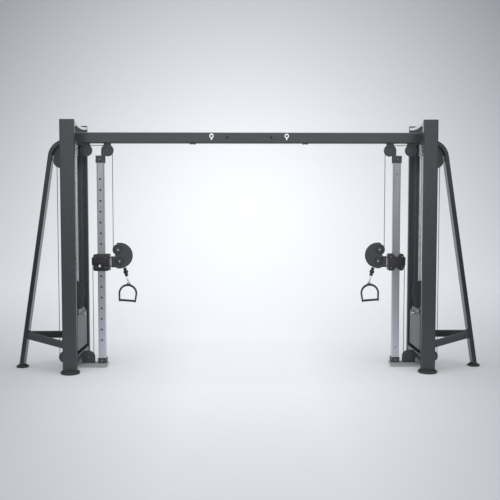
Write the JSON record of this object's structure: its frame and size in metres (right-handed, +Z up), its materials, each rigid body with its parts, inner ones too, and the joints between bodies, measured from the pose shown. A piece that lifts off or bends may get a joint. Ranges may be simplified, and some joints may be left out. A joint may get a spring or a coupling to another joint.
{
  "type": "cable crossover machine",
  "caption": "Cable crossover gym machine: towers of uprights, legs and weight stacks joined by a crossbeam, with swivel pulleys on perforated columns and D handles.",
  "frame": {"origin": "on the floor, midway between the two towers and midway in depth", "axes": "+X along the crossbeam, towards the tower on the right as seen from the front; +Y to the back; +Z up"},
  "size_m": [4.4154, 0.7446, 2.3],
  "materials": {
    "frame_paint": "satin charcoal powder coat",
    "cover_paint": "satin dark grey",
    "column_silver": "satin silver",
    "chrome": "polished",
    "light_trim": "satin light silver",
    "plate_iron": "satin grey",
    "rubber": "matt black",
    "black_plastic": "matt black",
    "cable_coat": "smooth dark coated cable"
  },
  "bodies": {
    "root": {"uprights": "frame_paint", "upright_caps": "black_plastic", "upright_feet": "rubber", "top_rails": "frame_paint", "top_ties": "light_trim", "base_rails": "frame_paint", "base_plates": "plate_iron", "crossbeam": "frame_paint", "beam_bolts": "frame_paint", "stabiliser_legs": "frame_paint", "leg_feet": "rubber", "leg_braces": "frame_paint", "columns": "column_silver", "column_brackets": "cover_paint", "pulley_covers": "cover_paint", "pulley_bolts": "chrome", "pulley_hangers": "cover_paint", "guide_rods": "chrome", "rod_collars": "chrome", "stack_bumpers": "rubber", "resting_plates": "plate_iron", "cables": "cable_coat"},
    "left_stack_lift": {"left_head_plate": "plate_iron", "left_lift_block": "cover_paint"},
    "left_selector": {"left_selector_pin": "chrome"},
    "left_lift_wheel": {"left_lift_sheave": "black_plastic"},
    "left_outer_top_wheel": {"left_outer_top_sheave": "black_plastic"},
    "left_inner_top_wheel": {"left_inner_top_sheave": "black_plastic"},
    "left_back_top_wheel": {"left_back_top_sheave": "black_plastic"},
    "left_inner_low_wheel": {"left_inner_low_sheave": "black_plastic"},
    "left_back_low_wheel": {"left_back_low_sheave": "black_plastic"},
    "left_carriage_unit": {"left_carriage": "cover_paint"},
    "left_index_knob": {"left_index_pin": "chrome"},
    "left_swivel": {"left_swivel_mount": "cover_paint", "left_swivel_cheeks": "cover_paint", "left_swivel_cable": "cable_coat"},
    "left_swivel_upper_wheel": {"left_swivel_upper_sheave": "black_plastic"},
    "left_swivel_lower_wheel": {"left_swivel_lower_sheave": "black_plastic"},
    "left_line_end": {"left_cable_end": "chrome"},
    "left_handle": {"left_handle_frame": "black_plastic"},
    "left_grip": {"left_handle_grip": "rubber"},
    "right_stack_lift": {"right_head_plate": "plate_iron", "right_lift_block": "cover_paint"},
    "right_selector": {"right_selector_pin": "chrome"},
    "right_lift_wheel": {"right_lift_sheave": "black_plastic"},
    "right_outer_top_wheel": {"right_outer_top_sheave": "black_plastic"},
    "right_inner_top_wheel": {"right_inner_top_sheave": "black_plastic"},
    "right_back_top_wheel": {"right_back_top_sheave": "black_plastic"},
    "right_inner_low_wheel": {"right_inner_low_sheave": "black_plastic"},
    "right_back_low_wheel": {"right_back_low_sheave": "black_plastic"},
    "right_carriage_unit": {"right_carriage": "cover_paint"},
    "right_index_knob": {"right_index_pin": "chrome"},
    "right_swivel": {"right_swivel_mount": "cover_paint", "right_swivel_cheeks": "cover_paint", "right_swivel_cable": "cable_coat"},
    "right_swivel_upper_wheel": {"right_swivel_upper_sheave": "black_plastic"},
    "right_swivel_lower_wheel": {"right_swivel_lower_sheave": "black_plastic"},
    "right_line_end": {"right_cable_end": "chrome"},
    "right_handle": {"right_handle_frame": "black_plastic"},
    "right_grip": {"right_handle_grip": "rubber"}
  },
  "joints": [
    {"name": "left_stack_slide", "type": "slide", "parent": "root", "child": "left_stack_lift", "axis": [0, 0, 1], "range_m": [0, 0.4]},
    {"name": "left_selector_pull", "type": "slide", "parent": "left_stack_lift", "child": "left_selector", "axis": [1, 0, 0], "range_m": [0, 0.1]},
    {"name": "left_lift_wheel_spin", "type": "hinge", "parent": "left_stack_lift", "child": "left_lift_wheel", "pos_m": [-1.637, 0, 0.735], "axis": [0, 1, 0], "continuous": true},
    {"name": "left_outer_top_wheel_spin", "type": "hinge", "parent": "root", "child": "left_outer_top_wheel", "pos_m": [-1.524, 0, 2.046], "axis": [0, 1, 0], "continuous": true},
    {"name": "left_inner_top_wheel_spin", "type": "hinge", "parent": "root", "child": "left_inner_top_wheel", "pos_m": [-1.325, 0, 2.046], "axis": [0, 1, 0], "continuous": true},
    {"name": "left_back_top_wheel_spin", "type": "hinge", "parent": "root", "child": "left_back_top_wheel", "pos_m": [-1.75, 0, 1.945], "axis": [0, 1, 0], "continuous": true},
    {"name": "left_inner_low_wheel_spin", "type": "hinge", "parent": "root", "child": "left_inner_low_wheel", "pos_m": [-1.52, 0, 0.096], "axis": [0, 1, 0], "continuous": true},
    {"name": "left_back_low_wheel_spin", "type": "hinge", "parent": "root", "child": "left_back_low_wheel", "pos_m": [-1.75, 0, 0.096], "axis": [0, 1, 0], "continuous": true},
    {"name": "left_carriage_slide", "type": "slide", "parent": "root", "child": "left_carriage_unit", "axis": [0, 0, 1], "range_m": [-0.505, 0.707], "deforming": ["cables"]},
    {"name": "left_index_push", "type": "slide", "parent": "left_carriage_unit", "child": "left_index_knob", "axis": [0, 1, 0], "range_m": [0, 0.012]},
    {"name": "left_swivel_turn", "type": "hinge", "parent": "left_carriage_unit", "child": "left_swivel", "pos_m": [-1.28, 0, 1], "axis": [0, 0, 1], "range_deg": [-80, 80]},
    {"name": "left_swivel_upper_spin", "type": "hinge", "parent": "left_swivel", "child": "left_swivel_upper_wheel", "pos_m": [-1.233, 0, 1.115], "axis": [0, 1, 0], "continuous": true},
    {"name": "left_swivel_lower_spin", "type": "hinge", "parent": "left_swivel", "child": "left_swivel_lower_wheel", "pos_m": [-1.219, 0, 1.007], "axis": [0, 1, 0], "continuous": true},
    {"name": "left_handle_pull", "type": "slide", "parent": "left_swivel", "child": "left_line_end", "axis": [1, 0, 0], "range_m": [0, 0.8]},
    {"name": "left_handle_swing", "type": "hinge", "parent": "left_line_end", "child": "left_handle", "pos_m": [-1.13861, 0, 0.80031], "axis": [0, 1, 0], "range_deg": [-35, 35]},
    {"name": "left_grip_spin", "type": "hinge", "parent": "left_handle", "child": "left_grip", "pos_m": [-1.15171, 0, 0.63382], "axis": [0.9969, 0, -0.0785], "continuous": true},
    {"name": "right_stack_slide", "type": "slide", "parent": "root", "child": "right_stack_lift", "axis": [0, 0, 1], "range_m": [0, 0.4]},
    {"name": "right_selector_pull", "type": "slide", "parent": "right_stack_lift", "child": "right_selector", "axis": [-1, 0, 0], "range_m": [0, 0.1]},
    {"name": "right_lift_wheel_spin", "type": "hinge", "parent": "right_stack_lift", "child": "right_lift_wheel", "pos_m": [1.637, 0, 0.735], "axis": [0, 1, 0], "continuous": true},
    {"name": "right_outer_top_wheel_spin", "type": "hinge", "parent": "root", "child": "right_outer_top_wheel", "pos_m": [1.524, 0, 2.046], "axis": [0, 1, 0], "continuous": true},
    {"name": "right_inner_top_wheel_spin", "type": "hinge", "parent": "root", "child": "right_inner_top_wheel", "pos_m": [1.325, 0, 2.046], "axis": [0, 1, 0], "continuous": true},
    {"name": "right_back_top_wheel_spin", "type": "hinge", "parent": "root", "child": "right_back_top_wheel", "pos_m": [1.75, 0, 1.945], "axis": [0, 1, 0], "continuous": true},
    {"name": "right_inner_low_wheel_spin", "type": "hinge", "parent": "root", "child": "right_inner_low_wheel", "pos_m": [1.52, 0, 0.096], "axis": [0, 1, 0], "continuous": true},
    {"name": "right_back_low_wheel_spin", "type": "hinge", "parent": "root", "child": "right_back_low_wheel", "pos_m": [1.75, 0, 0.096], "axis": [0, 1, 0], "continuous": true},
    {"name": "right_carriage_slide", "type": "slide", "parent": "root", "child": "right_carriage_unit", "axis": [0, 0, 1], "range_m": [-0.505, 0.707], "deforming": ["cables"]},
    {"name": "right_index_push", "type": "slide", "parent": "right_carriage_unit", "child": "right_index_knob", "axis": [0, -1, 0], "range_m": [0, 0.012]},
    {"name": "right_swivel_turn", "type": "hinge", "parent": "right_carriage_unit", "child": "right_swivel", "pos_m": [1.28, 0, 1], "axis": [0, 0, 1], "range_deg": [-80, 80]},
    {"name": "right_swivel_upper_spin", "type": "hinge", "parent": "right_swivel", "child": "right_swivel_upper_wheel", "pos_m": [1.233, 0, 1.115], "axis": [0, 1, 0], "continuous": true},
    {"name": "right_swivel_lower_spin", "type": "hinge", "parent": "right_swivel", "child": "right_swivel_lower_wheel", "pos_m": [1.219, 0, 1.007], "axis": [0, 1, 0], "continuous": true},
    {"name": "right_handle_pull", "type": "slide", "parent": "right_swivel", "child": "right_line_end", "axis": [-1, 0, 0], "range_m": [0, 0.8]},
    {"name": "right_handle_swing", "type": "hinge", "parent": "right_line_end", "child": "right_handle", "pos_m": [1.13861, 0, 0.80031], "axis": [0, 1, 0], "range_deg": [-35, 35]},
    {"name": "right_grip_spin", "type": "hinge", "parent": "right_handle", "child": "right_grip", "pos_m": [1.15171, 0, 0.63382], "axis": [-0.9969, 0, -0.0785], "continuous": true}
  ],
  "couplings": [
    {"joint": "left_handle_pull", "follows": "left_stack_slide", "ratio": 2},
    {"joint": "right_handle_pull", "follows": "right_stack_slide", "ratio": 2}
  ]
}
